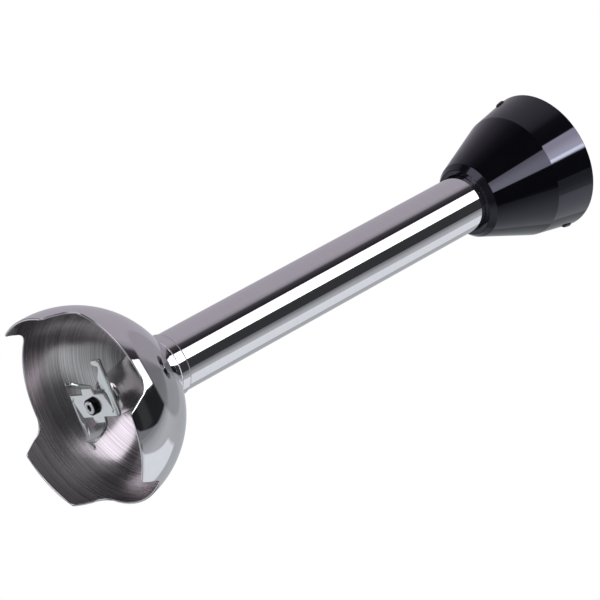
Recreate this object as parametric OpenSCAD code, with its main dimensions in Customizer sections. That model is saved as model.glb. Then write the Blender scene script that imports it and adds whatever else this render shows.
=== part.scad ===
// Blending foot of a stick blender.
// It stands on its three feet: z = 0 is the feet's plane and +Z is the tube's axis, from the bell to the
// coupling cone. All sizes are in millimetres and degrees.

/* [Overall] */
// Height of the whole foot, from the feet to the cone's rim
total_h = 229.4; // [190:0.1:280]
// Outer radius of the shaft tube
tube_r = 10.5; // [8.5:0.1:13]
// Wall of the shaft tube
tube_wall = 0.6; // [0.4:0.05:1]

/* [Bell] */
// Largest outer radius of the bell, which is part of a ball
bell_r = 35.65; // [29:0.05:43]
// Height of the bell's widest section above the feet
bell_bulge_z = 3.25; // [1:0.05:6]
// Thickness of the bell's sheet
bell_sheet = 0.7; // [0.5:0.05:1.2]
// Radius of the hollow corner where the bell meets its neck
neck_fillet = 3; // [2:0.1:5]
// Straight length of the neck above that corner
neck_h = 1.15; // [1:0.05:5]
// Height of the three recesses between the feet
recess_h = 10; // [6:0.1:14]
// Half width of a recess at the feet's plane
recess_half_low = 21.6; // [16:0.1:24]
// Half width of a recess at its top
recess_half_top = 18.6; // [12:0.1:22]
// Corner radius at a recess's top
recess_fillet = 6; // [1:0.1:8]
// Radius of a foot's own corners
foot_round = 1.2; // [0.4:0.1:2]
// Direction of the first foot, seen from above
foot_deg = -56.3; // [-180:0.1:180]
// Height of the ring over the joint of neck and tube
collar_h = 4; // [2:0.1:8]
// Wall of that ring
collar_wall = 0.5; // [0.3:0.05:1]

/* [Drive shaft] */
// Radius of the shaft in its bushes
shaft_r = 3; // [2.5:0.05:4]
// Step in the shaft's radius, from its bushes to where hub, blade and ring sit
shoulder_w = 0.8; // [0.6:0.05:1.2]
// How far the peened head below the blade stands out
head_w = 0.25; // [0.1:0.05:0.5]
// Radius of the centre hole in the shaft's end
centre_hole_r = 1; // [0.5:0.05:1.4]
// Height of the shaft's lower end above the feet
shaft_z = 8.8; // [7:0.1:10]
// Thickness of the peened head
head_t = 0.35; // [0.2:0.05:0.6]
// Height of the dark ring under the blade
ring_h = 1.45; // [1:0.05:2.5]
// Wall of the dark ring under the blade
ring_w = 0.65; // [0.4:0.05:1.5]
// Height of the hub above the blade
hub_h = 4; // [3:0.1:6]
// Wall of the hub above the blade
hub_w = 2; // [1.2:0.1:3]
// Depth of the two flats on the hub
hub_flat = 0.5; // [0.2:0.1:1]

/* [Blade] */
// Thickness of the blade's sheet
blade_t = 1; // [0.8:0.05:1.5]
// Direction of the plate's long axis, seen from above
blade_deg = -76.2; // [-180:0.1:180]
// Half width of the blade's centre plate
plate_half = 4; // [3.6:0.1:5]
// Half length of the plate's long edges
plate_len = 9.65; // [8:0.05:12]
// How far each short edge leans along the plate
plate_lean = 1.65; // [0:0.05:3]
// Length of the level tab from the plate to a bent wing's fold
tab_len = 1.9; // [1:0.1:3]
// Width of a bent wing at its fold
wing_w = 5.7; // [4:0.1:7]
// Offset of a bent wing along the plate
wing_shift = 0.55; // [-1:0.05:1]
// Length of a bent wing from its fold
wing_len = 7.6; // [5:0.1:9]
// How much wider than its fold a bent wing's leaf is
wing_flare = 0.9; // [0:0.1:1.5]
// Angle that a bent wing folds down from the plate
wing_deg = 59; // [30:1:80]
// Inside radius of that fold
fold_r = 0.4; // [0.2:0.05:1]
// How far a swept arm's outer edge stands outside the plate's corner
arm_edge = 1.2; // [0.5:0.1:2]
// Length of a swept arm across the plate's middle line
arm_reach = 15.6; // [12:0.1:18]
// Width of a swept arm's cutting part
arm_w = 4.1; // [3.5:0.1:6]
// Width of a swept arm's neck
arm_neck = 2; // [1.8:0.1:3]
// Pitch of a swept arm about its own length
arm_pitch = 12; // [0:1:20]

/* [Lower bearing] */
// Gap between the hub and the bearing housing's lower face
nose_gap = 0.8; // [0.5:0.1:2]
// Length of the bearing housing
housing_h = 45; // [35:0.5:60]
// Width of the flat ring at the housing's nose
nose_ring_w = 1; // [0.6:0.1:2]
// Height of the housing's dome
dome_h = 4.2; // [3:0.1:6]
// Wall of the housing at the top of its dome
housing_wall = 1.3; // [0.8:0.1:2]
// Wall of the two bushes on the shaft
bush_wall = 3; // [2.5:0.1:4]
// Floor of the housing under the seal
housing_floor = 1; // [0.8:0.1:2]
// Height of the lip seal
seal_h = 3.2; // [2:0.1:4]
// Thickness of the washer behind the seal
washer_t = 0.6; // [0.4:0.1:1]
// Length of the lower bush
lower_bush_h = 16; // [10:0.5:20]
// Thickness of the retaining clips
clip_t = 0.9; // [0.6:0.1:1.2]
// Depth of the shaft's groove for its clip
shaft_groove = 0.4; // [0.2:0.05:0.7]
// Depth of the housing's groove for the bush's clip
bush_groove = 0.7; // [0.4:0.05:1]
// Width of the shaft's clip outside the shaft
shaft_clip_w = 1.6; // [1:0.1:2]
// Width of the bush's clip inside its bore
bush_clip_w = 1.2; // [0.8:0.1:1.6]
// Thickness of the thrust washers
thrust_t = 0.8; // [0.5:0.1:1.2]
// Gap between the lower thrust washer and the bush's bore, besides free_gap
thrust_edge = 0.6; // [0.2:0.1:1]
// Length of the housing's full width below the tube
housing_lead = 3; // [1:0.1:8]

/* [Steady bush] */
// Height of the steady bush's lower face
steady_z = 108; // [90:1:130]
// Length of the steady bush
steady_h = 14; // [8:0.5:20]
// Wall left inside and outside of its six holes
steady_web = 1.75; // [1.2:0.05:2.5]

/* [Coupling cone] */
// Length of the cone's bore on the tube, from its lip to the tube's flare
lip_len = 12; // [8:0.1:20]
// Wall of the cone's lip
lip_wall = 1.9; // [1.4:0.1:3]
// Width of the lip's chamfer
lip_flare = 1.8; // [1:0.1:3]
// Height of the lip's chamfer
lip_chamfer = 2.3; // [1:0.1:4]
// Wall of the cone at the foot of its upper band
band_wall = 1.48; // [1:0.01:2.5]
// Wall of the cone at its rim
rim_wall = 1.9; // [1.5:0.1:2.5]
// Small chamfer on the cone's rim
rim_chamfer = 0.4; // [0.2:0.05:0.8]
// Radius of an index nub
nub_r = 1.5; // [1:0.1:2]
// Straight length of an index nub
nub_len = 1.6; // [0.5:0.1:3]
// How far an index nub stands out of the cone
nub_out = 0.75; // [0.4:0.05:1]
// Distance from an index nub's end to the cone's rim
nub_drop = 1.5; // [0.5:0.1:3]

/* [Coupling socket] */
// Width of the step between the cup and the bore that takes the motor handle
step_w = 3.5; // [2:0.1:6]
// Length of that bore
socket_len = 14; // [11:0.1:18]
// Depth of the lower cup around the drive dog
cup_h = 8.7; // [7:0.1:11]
// Wall of the socket
socket_wall = 1.5; // [1.2:0.1:2]
// Thickness of the socket's floor
socket_floor = 2; // [1.5:0.1:3]
// Gap between the drive dog and the hole in the socket's floor
floor_hole_gap = 2; // [1:0.1:3]
// How far the socket's flange lies below the cone's rim
flange_drop = 0.5; // [0.2:0.1:1]
// Thickness of the socket's flange
flange_t = 1; // [0.8:0.1:1.5]
// Width of the socket's flange outside its wall
flange_w = 3.14; // [2:0.02:5]
// Width of the cone's ledge that the flange rests on
flange_seat = 1; // [0.5:0.1:2]
// Width of a bayonet slot
slot_w = 5; // [4:0.1:6]
// Turn of a bayonet slot's closed leg
slot_turn = 18; // [10:1:20]

/* [Upper bearing] */
// How far the carrier's flange stands outside the tube's flare
carrier_edge = 0.3; // [0.1:0.1:1]
// Thickness of the carrier's flange
carrier_t = 3.6; // [3:0.1:4.5]
// Length of the carrier's plug inside the tube
plug_h = 22; // [15:0.5:30]
// Width of the tube's flared end
flare_w = 1.6; // [1:0.1:2.5]
// Length of the upper bush
upper_bush_h = 12.6; // [8:0.1:16]
// Depth of the upper bush below the carrier's top
upper_bush_drop = 1.6; // [1.2:0.1:3]
// Thickness of the socket's gasket
gasket_t = 0.6; // [0.4:0.1:1]
// Gap between the carrier's flange and a socket screw
screw_edge = 0.9; // [0.5:0.1:2]
// Gap between a screw's head and the cup's wall
screw_head_gap = 0.3; // [0.2:0.1:1]
// Radius of a screw's shank
screw_r = 1; // [0.8:0.05:1.1]
// Length of a screw's shank
screw_len = 9; // [6:0.5:10]
// Radius of a screw's head
screw_head_r = 1.9; // [1.6:0.1:2]
// Height of a screw's head
screw_head_h = 1.2; // [0.8:0.1:1.6]

/* [Drive dog] */
// Wall of the drive dog
dog_wall = 2.2; // [1.5:0.1:3]
// Height of the drive dog
dog_h = 8.4; // [7:0.1:9]
// Height of the drive dog's base below its four slots
dog_base_h = 3.9; // [3:0.1:5]
// Width of those slots
dog_slot_w = 2.2; // [1.5:0.1:3]
// Radius of the cross pin
cross_pin_r = 0.8; // [0.6:0.05:1]
// Height of the cross pin's axis above the dog's lower face
cross_pin_up = 1.8; // [1.3:0.1:2.5]
// Depth of the shaft's upper end below the dog's top
shaft_inset = 1; // [0.5:0.1:2]

/* [Fits] */
// Radial gap of pieces that sit still in each other
seat_gap = 0.02; // [0.01:0.01:0.05]
// Radial gap between the shaft and its bushes
run_gap = 0.04; // [0.02:0.01:0.09]
// Smallest gap between a turning piece and a still one
free_gap = 0.4; // [0.3:0.05:0.6]
// Section radius of the two O-rings inside the tube
ring_section = 0.75; // [0.5:0.05:0.9]
// Section radius of the O-ring in the cone's lip
lip_section = 0.9; // [0.6:0.05:1]
// Height of the housing's O-ring above the tube's lower end
housing_ring_up = 8; // [4:0.5:14]
// Height of the carrier's O-ring above the plug's lower end
carrier_ring_up = 6; // [2:0.5:8]
// Depth of the lip's O-ring below the middle of the cone's bore on the tube
lip_ring_low = 1; // [0:0.1:2]

/* [Hidden] */

// Facets of a full circle, and steps of an arc in an outline
$fn = 96;
arc_steps = 20;

// Bell and neck: the ball's centre is on the axis at bell_bulge_z
neck_r = tube_r + seat_gap + bell_sheet;
fillet_x = neck_r + neck_fillet;
fillet_z = bell_bulge_z + sqrt(pow(bell_r + neck_fillet, 2) - pow(fillet_x, 2));
fillet_deg = atan2(fillet_z - bell_bulge_z, fillet_x);
neck_top = fillet_z + neck_h;
tube_z = fillet_z - 0.5 * neck_fillet;
tube_in = tube_r - tube_wall;
recess_reach = bell_r + 5;

// Blade stack on the shaft
seat_r = shaft_r - shoulder_w;
head_r = seat_r + head_w;
ring_r = seat_r + ring_w;
hub_r = seat_r + hub_w;
ring_z = shaft_z + head_t;
blade_z = ring_z + ring_h;
hub_z = blade_z + blade_t;
shoulder_z = hub_z + hub_h;
fold_dist = plate_half + tab_len;
arm_out = plate_len + plate_lean + arm_edge;

// Lower bearing stack
bush_r = shaft_r + bush_wall;
nose_hole_r = shaft_r + 3 * free_gap;
dome_r = nose_hole_r + nose_ring_w;
dome_top_r = bush_r + housing_wall;
housing_z = shoulder_z + nose_gap;
seal_z = housing_z + housing_floor;
washer_z = seal_z + seal_h;
lower_bush_z = washer_z + washer_t;
bush_clip_z = lower_bush_z + lower_bush_h;
bush_clip_r = bush_r + bush_groove;
lower_thrust_z = bush_clip_z + clip_t + free_gap;
lower_thrust_r = bush_r - free_gap - thrust_edge;
shaft_clip_z = lower_thrust_z + thrust_t;
clip_groove_r = shaft_r - shaft_groove;
housing_r = tube_in - seat_gap;
housing_top = housing_z + housing_h;
housing_full_z = tube_z - housing_lead;
housing_ring_z = tube_z + housing_ring_up;

// Radii outwards from the tube to the cone's rim
flare_r = tube_r + flare_w;
carrier_r = flare_r + carrier_edge;
screw_pcr = carrier_r + screw_edge + screw_r;
cup_r = screw_pcr + screw_head_r + screw_head_gap;
cup_out = cup_r + socket_wall;
socket_r = cup_r + step_w;
socket_out = socket_r + socket_wall;
flange_r = socket_out + flange_w;
rim_r = flange_r + rim_wall;
band_r = socket_out + seat_gap + band_wall;
lip_r = tube_r + lip_wall;
lip_top_r = lip_r + lip_flare;
upper_bush_r = shaft_r + bush_wall;
dog_r = shaft_r + dog_wall;
floor_hole_r = dog_r + floor_hole_gap;

// Heights counted down from the rim to the cone's lip
flange_z = total_h - flange_drop - flange_t;
socket_step_z = total_h - flange_drop - socket_len;
band_z = socket_step_z - socket_wall;
cup_floor_z = socket_step_z - cup_h;
socket_z = cup_floor_z - socket_floor;
ledge_z = socket_z - gasket_t;
flare_top = socket_z - carrier_t;
flare_z = flare_top - tube_wall;
cone_z = flare_z - lip_len;
cone_h = total_h - cone_z;
plug_z = flare_top - plug_h;
carrier_ring_z = plug_z + carrier_ring_up;
lip_ring_z = (cone_z + flare_z) / 2 - lip_ring_low;
band_slope = (rim_r - band_r) / (total_h - band_z);

// Drive dog and the shaft's upper end
upper_bush_top = socket_z - upper_bush_drop;
upper_bush_z = upper_bush_top - upper_bush_h;
upper_thrust_z = upper_bush_top + free_gap;
dog_z = upper_thrust_z + thrust_t;
dog_top = dog_z + dog_h;
cross_pin_z = dog_z + cross_pin_up;
shaft_top = dog_top - shaft_inset;

// Points of an arc about (x, z), from one angle to another
function arc(x, z, r, from, to, steps = arc_steps) =
    [for (i = [0:steps]) let (a = from + (to - from) * i / steps) [x + r * cos(a), z + r * sin(a)]];

// Angle on the ball's outline, or on an inner one, where it meets the feet's plane
function mouth_deg(r) = asin(-bell_bulge_z / r);

// Half outline of the bell's sheet, outside up and inside down
bell_outline = concat(
    arc(0, bell_bulge_z, bell_r, mouth_deg(bell_r), fillet_deg, 28),
    arc(fillet_x, fillet_z, neck_fillet, 180 + fillet_deg, 180, 8),
    [[neck_r, neck_top], [neck_r - bell_sheet, neck_top]],
    arc(fillet_x, fillet_z, neck_fillet + bell_sheet, 180, 180 + fillet_deg, 8),
    arc(0, bell_bulge_z, bell_r - bell_sheet, fillet_deg, mouth_deg(bell_r - bell_sheet), 28));

// Outline of one recess, seen along its middle: sloping sides, round top corners, round foot corners
side_lean = atan2(recess_half_low - recess_half_top, recess_h);
top_arc_x = recess_half_top - recess_fillet * tan((90 - side_lean) / 2);
foot_arc_x = recess_half_low + foot_round * tan((90 + side_lean) / 2);
recess_right = concat(
    [[foot_arc_x, -5]],
    arc(foot_arc_x, foot_round, foot_round, -90, -180 + side_lean, 6),
    arc(top_arc_x, recess_h - recess_fillet, recess_fillet, side_lean, 90, 8));
function flip_x(points) = [for (i = [len(points) - 1:-1:0]) [-points[i][0], points[i][1]]];
recess_outline = concat(recess_right, flip_x(recess_right));

module recess_cutter() {
    rotate([90, 0, 90])
        linear_extrude(recess_reach)
            polygon(recess_outline);
}

module ring(inner, outer, z, h) {
    translate([0, 0, z])
        difference() {
            cylinder(r = outer, h = h);
            translate([0, 0, -1]) cylinder(r = inner, h = h + 2);
        }
}

// Round wire ring about the axis
module round_ring(centre_r, section_r, z) {
    translate([0, 0, z])
        rotate_extrude()
            translate([centre_r, 0]) circle(r = section_r, $fn = 48);
}

// Open ring with a gap, as a retaining clip
module open_ring(inner, outer, z, h, gap_deg) {
    translate([0, 0, z])
        rotate([0, 0, gap_deg / 2])
            rotate_extrude(angle = 360 - gap_deg)
                translate([inner, 0]) square([outer - inner, h]);
}

module bell_guard() {
    color("silver")
        difference() {
            rotate_extrude() polygon(bell_outline);
            for (i = [0:2])
                rotate([0, 0, foot_deg + 60 + 120 * i]) recess_cutter();
        }
}

module neck_collar() {
    color("gainsboro")
        ring(tube_r + seat_gap, tube_r + seat_gap + collar_wall, neck_top, collar_h);
}

module shaft_tube() {
    color("silver")
        rotate_extrude()
            polygon([[tube_in, tube_z], [tube_r, tube_z], [tube_r, flare_z], [flare_r, flare_z],
                [flare_r, flare_top], [tube_in, flare_top]]);
}

// Domed nose, then a slight cone up to the tube's bore
module bearing_housing() {
    nose_steps = 10;
    nose = [for (i = [0:nose_steps]) let (a = -90 + 90 * i / nose_steps)
        [dome_r + (dome_top_r - dome_r) * cos(a), housing_z + dome_h + dome_h * sin(a)]];
    color("lightgray")
        difference() {
            rotate_extrude()
                polygon(concat([[0, housing_z]], nose, [[housing_r, housing_full_z],
                    [housing_r, housing_top], [0, housing_top]]));
            translate([0, 0, housing_z - 1]) cylinder(r = nose_hole_r, h = housing_floor + 2);
            translate([0, 0, seal_z]) cylinder(r = bush_r + seat_gap, h = housing_h);
            translate([0, 0, bush_clip_z]) cylinder(r = bush_clip_r + seat_gap, h = clip_t);
            ring(housing_r - 2 * ring_section, housing_r + 1, housing_ring_z - ring_section,
                2 * ring_section);
        }
}

module housing_o_ring() {
    color("dimgray") round_ring(housing_r - ring_section, ring_section, housing_ring_z);
}

module shaft_seal() {
    lip = 1;
    color("dimgray")
        translate([0, 0, seal_z])
            difference() {
                cylinder(r = bush_r, h = seal_h);
                translate([0, 0, -1]) cylinder(r = shaft_r + run_gap, h = seal_h + 2);
                translate([0, 0, lip]) cylinder(r = bush_r - 1.2, h = seal_h - 2 * lip);
            }
}

module seal_washer() {
    color("silver") ring(shaft_r + free_gap, bush_r, washer_z, washer_t);
}

module lower_bush() {
    color("peru") ring(shaft_r + run_gap, bush_r, lower_bush_z, lower_bush_h);
}

module bush_clip() {
    color("slategray") open_ring(bush_r - bush_clip_w, bush_clip_r, bush_clip_z, clip_t, 40);
}

module steady_bush() {
    holes = 6;
    hole_pcr = (shaft_r + tube_in) / 2;
    hole_r = (tube_in - shaft_r) / 2 - steady_web;
    color("ivory")
        difference() {
            ring(shaft_r + run_gap, tube_in - seat_gap, steady_z, steady_h);
            for (i = [0:holes - 1])
                rotate([0, 0, 360 / holes * i])
                    translate([hole_pcr, 0, steady_z - 1])
                        cylinder(r = hole_r, h = steady_h + 2);
        }
}

module upper_carrier() {
    color("darkslategray")
        difference() {
            union() {
                translate([0, 0, plug_z]) cylinder(r = tube_in - seat_gap, h = plug_h);
                translate([0, 0, flare_top]) cylinder(r = carrier_r, h = carrier_t);
            }
            translate([0, 0, plug_z - 1]) cylinder(r = shaft_r + 2 * free_gap, h = plug_h);
            translate([0, 0, upper_bush_z])
                cylinder(r = upper_bush_r + seat_gap, h = socket_z - upper_bush_z + 1);
            ring(housing_r - 2 * ring_section, housing_r + 1, carrier_ring_z - ring_section,
                2 * ring_section);
        }
}

module carrier_o_ring() {
    color("dimgray") round_ring(housing_r - ring_section, ring_section, carrier_ring_z);
}

module upper_bush() {
    color("peru") ring(shaft_r + run_gap, upper_bush_r, upper_bush_z, upper_bush_h);
}

// The cone's outside: lip, chamfer, lower band, upper band, rim
module coupling_cone() {
    bore = tube_r + seat_gap;
    color([0.1, 0.1, 0.11])
        difference() {
            union() {
                rotate_extrude()
                    polygon([[0, cone_z], [lip_r, cone_z], [lip_top_r, cone_z + lip_chamfer],
                        [band_r, band_z], [rim_r - rim_chamfer * band_slope, total_h - rim_chamfer],
                        [rim_r - rim_chamfer, total_h], [0, total_h]]);
                for (side = [0, 180]) rotate([0, 0, side]) index_nub();
            }
            translate([0, 0, cone_z - 1]) cylinder(r = bore, h = cone_h);
            translate([0, 0, flare_z]) cylinder(r = carrier_r + seat_gap, h = cone_h);
            translate([0, 0, ledge_z]) cylinder(r = cup_out + seat_gap, h = cone_h);
            translate([0, 0, socket_step_z - socket_wall])
                cylinder(r1 = socket_out + seat_gap, r2 = flange_r - flange_seat,
                    h = flange_z - socket_step_z + socket_wall);
            translate([0, 0, flange_z]) cylinder(r = flange_r + seat_gap, h = cone_h);
            ring(bore - 0.5, bore + 2 * lip_section, lip_ring_z - lip_section, 2 * lip_section);
            screw_places() translate([0, 0, cup_floor_z - screw_len])
                cylinder(r = screw_r + seat_gap, h = screw_len);
        }
}

// Low rounded bar that lies along the cone's side, near the rim
module index_nub() {
    nub_z = total_h - nub_r - nub_len - nub_drop;
    nub_x = rim_r - band_slope * (total_h - nub_z) + nub_out - nub_r;
    translate([nub_x, 0, nub_z])
        rotate([0, atan(band_slope), 0]) {
            cylinder(r = nub_r, h = nub_len, $fn = 48);
            sphere(r = nub_r, $fn = 48);
            translate([0, 0, nub_len]) sphere(r = nub_r, $fn = 48);
        }
}

module lip_o_ring() {
    color("dimgray") round_ring(tube_r + seat_gap + lip_section, lip_section, lip_ring_z);
}

module screw_places() {
    for (i = [0:2])
        rotate([0, 0, 90 + 120 * i]) translate([screw_pcr, 0, 0]) children();
}

// One bayonet slot: an open leg from the rim and a closed leg that turns away from it
module bayonet_slot() {
    leg_z = socket_step_z + 1;
    depth = socket_out + 1;
    translate([0, -slot_w / 2, leg_z]) cube([depth, slot_w, flange_z - leg_z]);
    translate([0, 0, leg_z])
        rotate_extrude(angle = slot_turn + asin(slot_w / 2 / socket_r))
            square([depth, slot_w]);
}

module coupling_socket() {
    color([0.16, 0.16, 0.17])
        difference() {
            union() {
                translate([0, 0, socket_z])
                    cylinder(r = cup_out, h = socket_step_z - socket_z);
                translate([0, 0, socket_step_z - socket_wall])
                    cylinder(r = socket_out, h = flange_z + flange_t - socket_step_z + socket_wall);
                translate([0, 0, flange_z]) cylinder(r = flange_r, h = flange_t);
            }
            translate([0, 0, socket_z - 1]) cylinder(r = floor_hole_r, h = socket_floor + 2);
            translate([0, 0, cup_floor_z]) cylinder(r = cup_r, h = cone_h);
            translate([0, 0, socket_step_z]) cylinder(r = socket_r, h = cone_h);
            for (side = [0, 180]) rotate([0, 0, side]) bayonet_slot();
            screw_places() translate([0, 0, socket_z - 1])
                cylinder(r = screw_r + seat_gap, h = socket_floor + 2);
        }
}

module socket_gasket() {
    color("dimgray")
        difference() {
            ring(carrier_r + 3 * seat_gap, cup_out, ledge_z, gasket_t);
            screw_places() translate([0, 0, ledge_z - 1])
                cylinder(r = screw_r + seat_gap, h = gasket_t + 2);
        }
}

module socket_screws() {
    cross_w = 0.5;
    color("slategray")
        screw_places() translate([0, 0, cup_floor_z]) {
            translate([0, 0, -screw_len]) cylinder(r = screw_r, h = screw_len + 0.5);
            difference() {
                cylinder(r = screw_head_r, h = screw_head_h);
                for (turn = [0, 90])
                    rotate([0, 0, turn])
                        translate([-screw_r, -cross_w / 2, screw_head_h - cross_w])
                            cube([2 * screw_r, cross_w, 1]);
            }
        }
}

module drive_shaft() {
    color("lightsteelblue")
        difference() {
            union() {
                translate([0, 0, shaft_z])
                    cylinder(r1 = seat_r, r2 = head_r, h = head_t);
                translate([0, 0, ring_z]) cylinder(r = seat_r, h = shoulder_z - ring_z);
                translate([0, 0, shoulder_z]) cylinder(r = shaft_r, h = shaft_top - shoulder_z);
            }
            translate([0, 0, shaft_z - 1]) cylinder(r = centre_hole_r, h = 4);
            ring(clip_groove_r, shaft_r + 1, shaft_clip_z, clip_t);
            translate([0, 0, cross_pin_z]) rotate([0, 90, 0])
                cylinder(r = cross_pin_r + seat_gap, h = 4 * shaft_r, center = true);
        }
}

// Centre plate with the two tabs that carry the bent wings
tab_from = wing_shift - wing_w / 2;
tab_to = wing_shift + wing_w / 2;
plate_half_outline = [[-plate_len - plate_lean, -plate_half], [-tab_to - 0.4, -plate_half],
    [-tab_to, -fold_dist], [-tab_from, -fold_dist], [-tab_from + 0.4, -plate_half],
    [plate_len - plate_lean, -plate_half]];
function half_turn(points) = [for (p = points) -p];
plate_outline = concat(plate_half_outline, half_turn(plate_half_outline));

// One swept arm: neck beside the plate's short edge, then the cutting part with its hooked tip
arm_outline = [[-arm_out + 0.9, -plate_half - 0.4], [-arm_out + arm_neck + 1.1, 0.9 - plate_half],
    [-arm_out + arm_neck + 0.1, 2.2 - plate_half], [-arm_out + arm_neck, 1.5], [-arm_out + arm_neck + 0.4, 5.3],
    [-arm_out + arm_w, 5.8], [-arm_out + arm_w - 0.3, 9.5], [-arm_out + arm_neck, arm_reach - 3.2],
    [-arm_out + arm_neck - 0.1, arm_reach - 2.3], [-arm_out + arm_w - 0.6, arm_reach - 1.9],
    [-arm_out + arm_w, arm_reach - 1.5], [-arm_out + arm_w, arm_reach - 0.5],
    [-arm_out + arm_w - 0.6, arm_reach], [-arm_out + 0.6, arm_reach], [-arm_out, arm_reach - 0.6],
    [-arm_out, 0.8 - plate_half]];

module swept_arm() {
    pivot = arm_out - arm_neck;
    translate([-pivot, 0, blade_t / 2])
        rotate([0, arm_pitch, 0])
            translate([pivot, 0, -blade_t / 2])
                linear_extrude(blade_t) polygon(arm_outline);
}

// One bent wing: the sheet's side view is a level tab, a rolled fold and a straight leaf, and the leaf is
// trimmed to a rounded point that bulges on one side
module bent_wing() {
    tab_overlap = 1.5;
    base = -3;
    side_view = concat(
        [[fold_dist - tab_overlap, blade_t]],
        arc(fold_dist, -fold_r, fold_r + blade_t, 90, 90 - wing_deg, 8),
        [[fold_dist + (fold_r + blade_t) * sin(wing_deg) + wing_len * cos(wing_deg),
            -fold_r + (fold_r + blade_t) * cos(wing_deg) - wing_len * sin(wing_deg)],
        [fold_dist + fold_r * sin(wing_deg) + wing_len * cos(wing_deg),
            -fold_r + fold_r * cos(wing_deg) - wing_len * sin(wing_deg)]],
        arc(fold_dist, -fold_r, fold_r, 90 - wing_deg, 90, 8),
        [[fold_dist - tab_overlap, 0]]);
    bulge = tab_to + wing_flare;
    trim = [[tab_from - 1, base], [tab_from - 0.1, 0.1 * wing_len], [tab_from + 0.1, 0.8 * wing_len],
        [tab_from + 0.8, 0.96 * wing_len], [tab_from + 2.2, 0.995 * wing_len],
        [bulge - 2.4, 0.93 * wing_len], [bulge - 0.8, 0.76 * wing_len], [bulge - 0.1, 0.5 * wing_len],
        [bulge - 0.1, 0.2 * wing_len], [tab_to - 0.1, 0.02 * wing_len], [tab_to - 0.1, base]];
    intersection() {
        translate([tab_from, 0, 0])
            rotate([90, 0, 90])
                linear_extrude(wing_w + wing_flare) polygon(side_view);
        translate([0, fold_dist, -fold_r])
            rotate([-wing_deg, 0, 0])
                translate([0, 0, -wing_len])
                    linear_extrude(2 * wing_len) polygon(trim);
    }
}

module blade() {
    color("whitesmoke")
        translate([0, 0, blade_z])
            rotate([0, 0, blade_deg])
                difference() {
                    union() {
                        linear_extrude(blade_t) polygon(plate_outline);
                        for (turn = [0, 180])
                            rotate([0, 0, turn]) {
                                swept_arm();
                                bent_wing();
                            }
                    }
                    translate([0, 0, -1]) cylinder(r = seat_r + seat_gap, h = blade_t + 2);
                }
}

module blade_collar() {
    color([0.12, 0.12, 0.12]) ring(seat_r + seat_gap, ring_r, ring_z, ring_h);
}

module blade_hub() {
    color("slategray")
        difference() {
            ring(seat_r + seat_gap, hub_r, hub_z, hub_h);
            for (turn = [0, 180])
                rotate([0, 0, turn])
                    translate([hub_r - hub_flat, -hub_r, hub_z - 1]) cube([2, 2 * hub_r, hub_h / 2 + 1]);
        }
}

module lower_thrust_washer() {
    color("ivory") ring(shaft_r + seat_gap, lower_thrust_r, lower_thrust_z, thrust_t);
}

module lower_shaft_clip() {
    color("slategray") open_ring(clip_groove_r + seat_gap, shaft_r + shaft_clip_w, shaft_clip_z, clip_t, 60);
}

module upper_thrust_washer() {
    color("ivory") ring(shaft_r + seat_gap, upper_bush_r - free_gap, upper_thrust_z, thrust_t);
}

module drive_coupling() {
    color("darkgray")
        translate([0, 0, dog_z])
            difference() {
                cylinder(r = dog_r, h = dog_h);
                translate([0, 0, -1]) cylinder(r = shaft_r + seat_gap, h = dog_h + 2);
                for (turn = [45, 135])
                    rotate([0, 0, turn])
                        translate([-dog_r - 1, -dog_slot_w / 2, dog_base_h])
                            cube([2 * dog_r + 2, dog_slot_w, dog_h - dog_base_h + 1]);
                translate([0, 0, cross_pin_up]) rotate([0, 90, 0])
                    cylinder(r = cross_pin_r + seat_gap, h = 3 * dog_r, center = true);
            }
}

module coupling_pin() {
    color("silver")
        translate([0, 0, cross_pin_z]) rotate([0, 90, 0])
            cylinder(r = cross_pin_r, h = 2 * dog_r - 0.2, center = true);
}

bell_guard();
neck_collar();
shaft_tube();
bearing_housing();
housing_o_ring();
shaft_seal();
seal_washer();
lower_bush();
bush_clip();
steady_bush();
upper_carrier();
carrier_o_ring();
upper_bush();
coupling_cone();
lip_o_ring();
coupling_socket();
socket_gasket();
socket_screws();
drive_shaft();
blade();
blade_collar();
blade_hub();
lower_thrust_washer();
lower_shaft_clip();
upper_thrust_washer();
drive_coupling();
coupling_pin();
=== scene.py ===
"""Blending foot of a stick blender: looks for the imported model.

The foot stands upright on its three feet, as in the CAD frame: +Z is the tube's axis, from the bell's mouth
to the coupling cone. Everything is in metres, and MM turns millimetres into metres.
"""
import math

import bmesh
import bpy
import numpy as np
from mathutils import Matrix, Vector

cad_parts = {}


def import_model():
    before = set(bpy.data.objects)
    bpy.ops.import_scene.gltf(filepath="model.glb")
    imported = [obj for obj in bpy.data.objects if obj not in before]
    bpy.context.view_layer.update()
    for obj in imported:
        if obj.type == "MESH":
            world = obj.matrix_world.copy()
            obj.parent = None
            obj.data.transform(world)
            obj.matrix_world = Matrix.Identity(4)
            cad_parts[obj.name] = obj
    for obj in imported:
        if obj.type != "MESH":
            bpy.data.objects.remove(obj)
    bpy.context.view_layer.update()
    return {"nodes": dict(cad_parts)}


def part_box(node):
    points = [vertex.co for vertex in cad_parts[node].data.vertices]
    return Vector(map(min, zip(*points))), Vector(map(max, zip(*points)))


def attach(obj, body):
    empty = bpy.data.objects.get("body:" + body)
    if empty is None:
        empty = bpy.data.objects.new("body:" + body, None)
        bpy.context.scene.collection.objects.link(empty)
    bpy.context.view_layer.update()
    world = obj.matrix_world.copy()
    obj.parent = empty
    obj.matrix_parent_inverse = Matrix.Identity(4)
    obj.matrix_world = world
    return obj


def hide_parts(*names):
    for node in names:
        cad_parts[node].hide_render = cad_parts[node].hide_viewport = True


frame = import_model()

MM = 0.001
nodes = frame["nodes"]

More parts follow.
